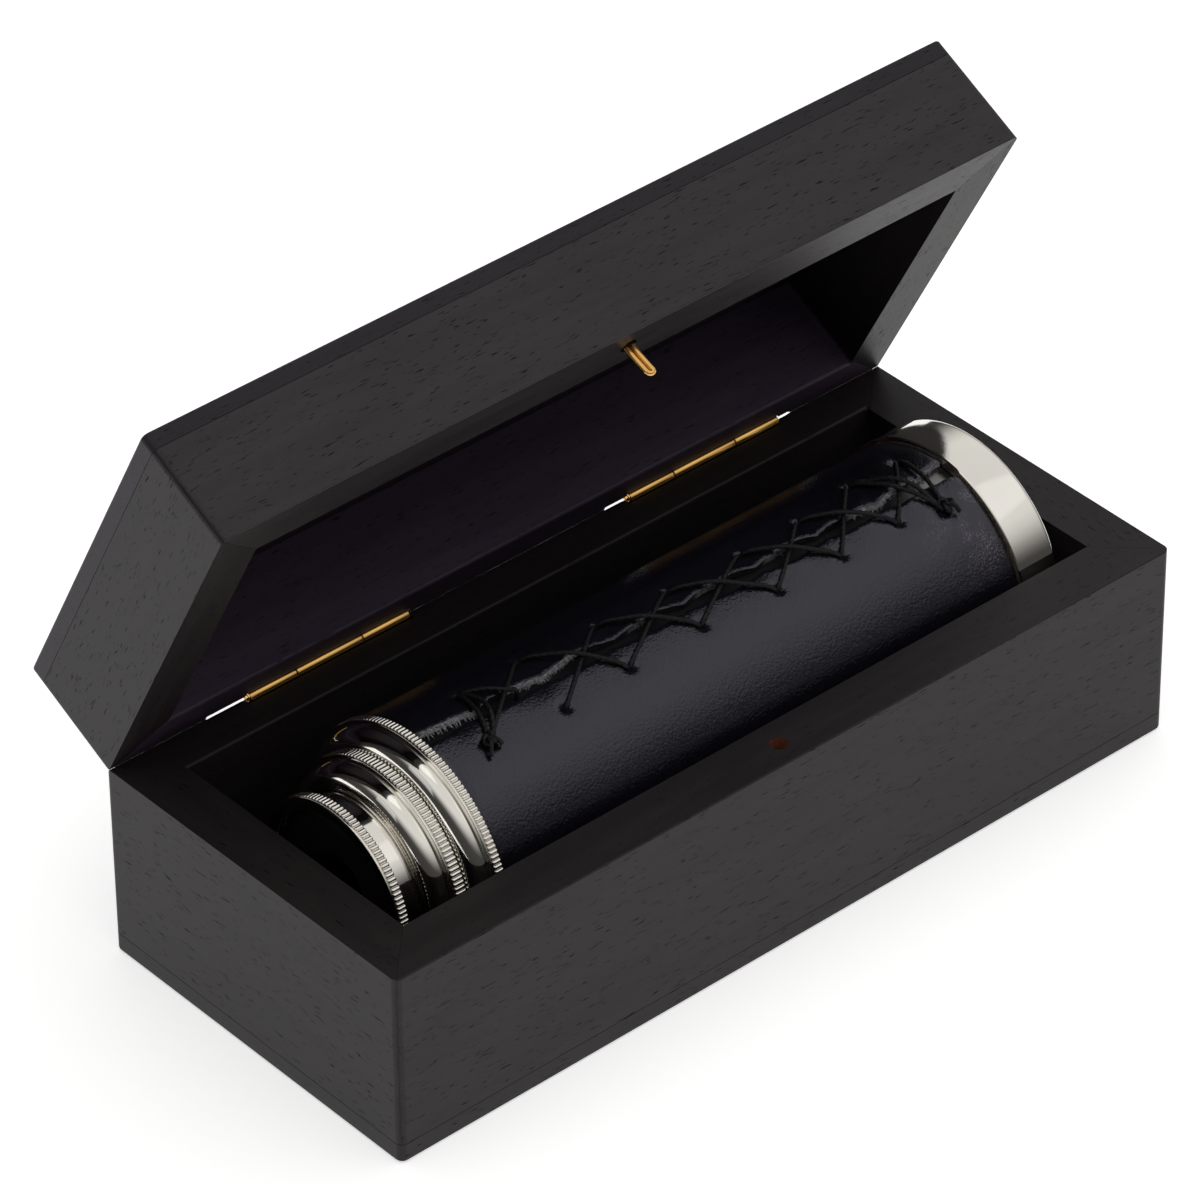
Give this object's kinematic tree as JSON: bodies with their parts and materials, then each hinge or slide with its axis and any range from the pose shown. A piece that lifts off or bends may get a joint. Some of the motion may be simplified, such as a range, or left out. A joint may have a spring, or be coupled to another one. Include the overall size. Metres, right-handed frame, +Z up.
{
  "type": "kaleidoscope in a hinged case",
  "caption": "Leather-laced metal kaleidoscope with a sliding eyepiece and a turning object cell, lying in a dark wooden case with a hinged lid.",
  "frame": {"origin": "middle of the underside of the case", "axes": "+X along the case from the eyepiece end to the object cell end, +Y to the hinged back, +Z up"},
  "size_m": [0.16, 0.0864, 0.1051],
  "materials": {
    "wood": "near-black stained hardwood, satin, open pores",
    "brass": "polished brass",
    "nickel": "polished nickel plate",
    "blackened": "matt black paint",
    "leather": "fine-grained black leather, satin",
    "cord": "waxed thread",
    "clear_glass": "polished",
    "frosted_glass": "ground on one face",
    "mirror": "front-silvered glass",
    "foam": "soft packing",
    "card": "rolled card",
    "red_glass": "coloured glass",
    "blue_glass": "coloured glass",
    "green_glass": "coloured glass",
    "amber_glass": "coloured glass"
  },
  "bodies": {
    "case_base": {"base_front_wall": "wood", "base_right_wall": "wood", "base_back_wall": "wood", "base_left_wall": "wood", "base_floor_panel": "wood", "left_hinge_base_leaf": "brass", "left_hinge_pin": "brass", "right_hinge_base_leaf": "brass", "right_hinge_pin": "brass"},
    "case_lid": {"lid_front_wall": "wood", "lid_right_wall": "wood", "lid_back_wall": "wood", "lid_left_wall": "wood", "lid_top_panel": "wood", "left_hinge_lid_leaf": "brass", "right_hinge_lid_leaf": "brass", "catch_pin": "brass"},
    "kaleidoscope": {"barrel_tube": "nickel", "leather_wrap": "leather", "lacing_cord": "cord", "tube_ferrule": "nickel", "eyepiece_mount": "nickel", "mirror_1": "mirror", "mirror_2": "mirror", "mirror_3": "mirror", "mirror_packing_1": "foam", "mirror_packing_2": "foam", "mirror_packing_3": "foam", "mirror_liner_tube": "card", "mirror_eye_stop": "blackened", "cell_guide_ring": "brass"},
    "eyepiece": {"eyepiece_ring": "nickel", "eyepiece_draw_tube": "nickel", "eyepiece_disc": "blackened", "eye_lens": "clear_glass", "lens_lock_ring": "blackened"},
    "object_cell": {"object_cell_ring": "nickel", "object_cell_sleeve": "blackened", "cell_front_glass": "clear_glass", "cell_spacer_ring": "blackened", "cell_diffuser_glass": "frosted_glass", "cell_lock_ring": "blackened", "red_glass_bead": "red_glass", "blue_glass_bead": "blue_glass", "green_glass_bead": "green_glass", "amber_glass_bead": "amber_glass", "red_glass_rod": "red_glass", "blue_glass_rod": "blue_glass", "green_glass_rod": "green_glass", "amber_glass_rod": "amber_glass", "red_glass_shard": "red_glass", "blue_glass_shard": "blue_glass", "green_glass_shard": "green_glass", "amber_glass_shard": "amber_glass"}
  },
  "joints": [
    {"name": "lid_hinge", "type": "hinge", "parent": "case_base", "child": "case_lid", "pos_m": [0, 0.0333, 0.0355], "axis": [-1, 0, 0], "range_deg": [-62.7, 35]},
    {"name": "kaleidoscope_lift", "type": "slide", "parent": "case_base", "child": "kaleidoscope", "axis": [0, 0, 1], "range_m": [0, 0.003]},
    {"name": "eyepiece_focus", "type": "slide", "parent": "kaleidoscope", "child": "eyepiece", "axis": [-1, 0, 0], "range_m": [-0.0025, 0.0035]},
    {"name": "object_cell_spin", "type": "hinge", "parent": "kaleidoscope", "child": "object_cell", "pos_m": [0.06, -0.0026, 0.02565], "axis": [1, 0, 0], "continuous": true}
  ]
}
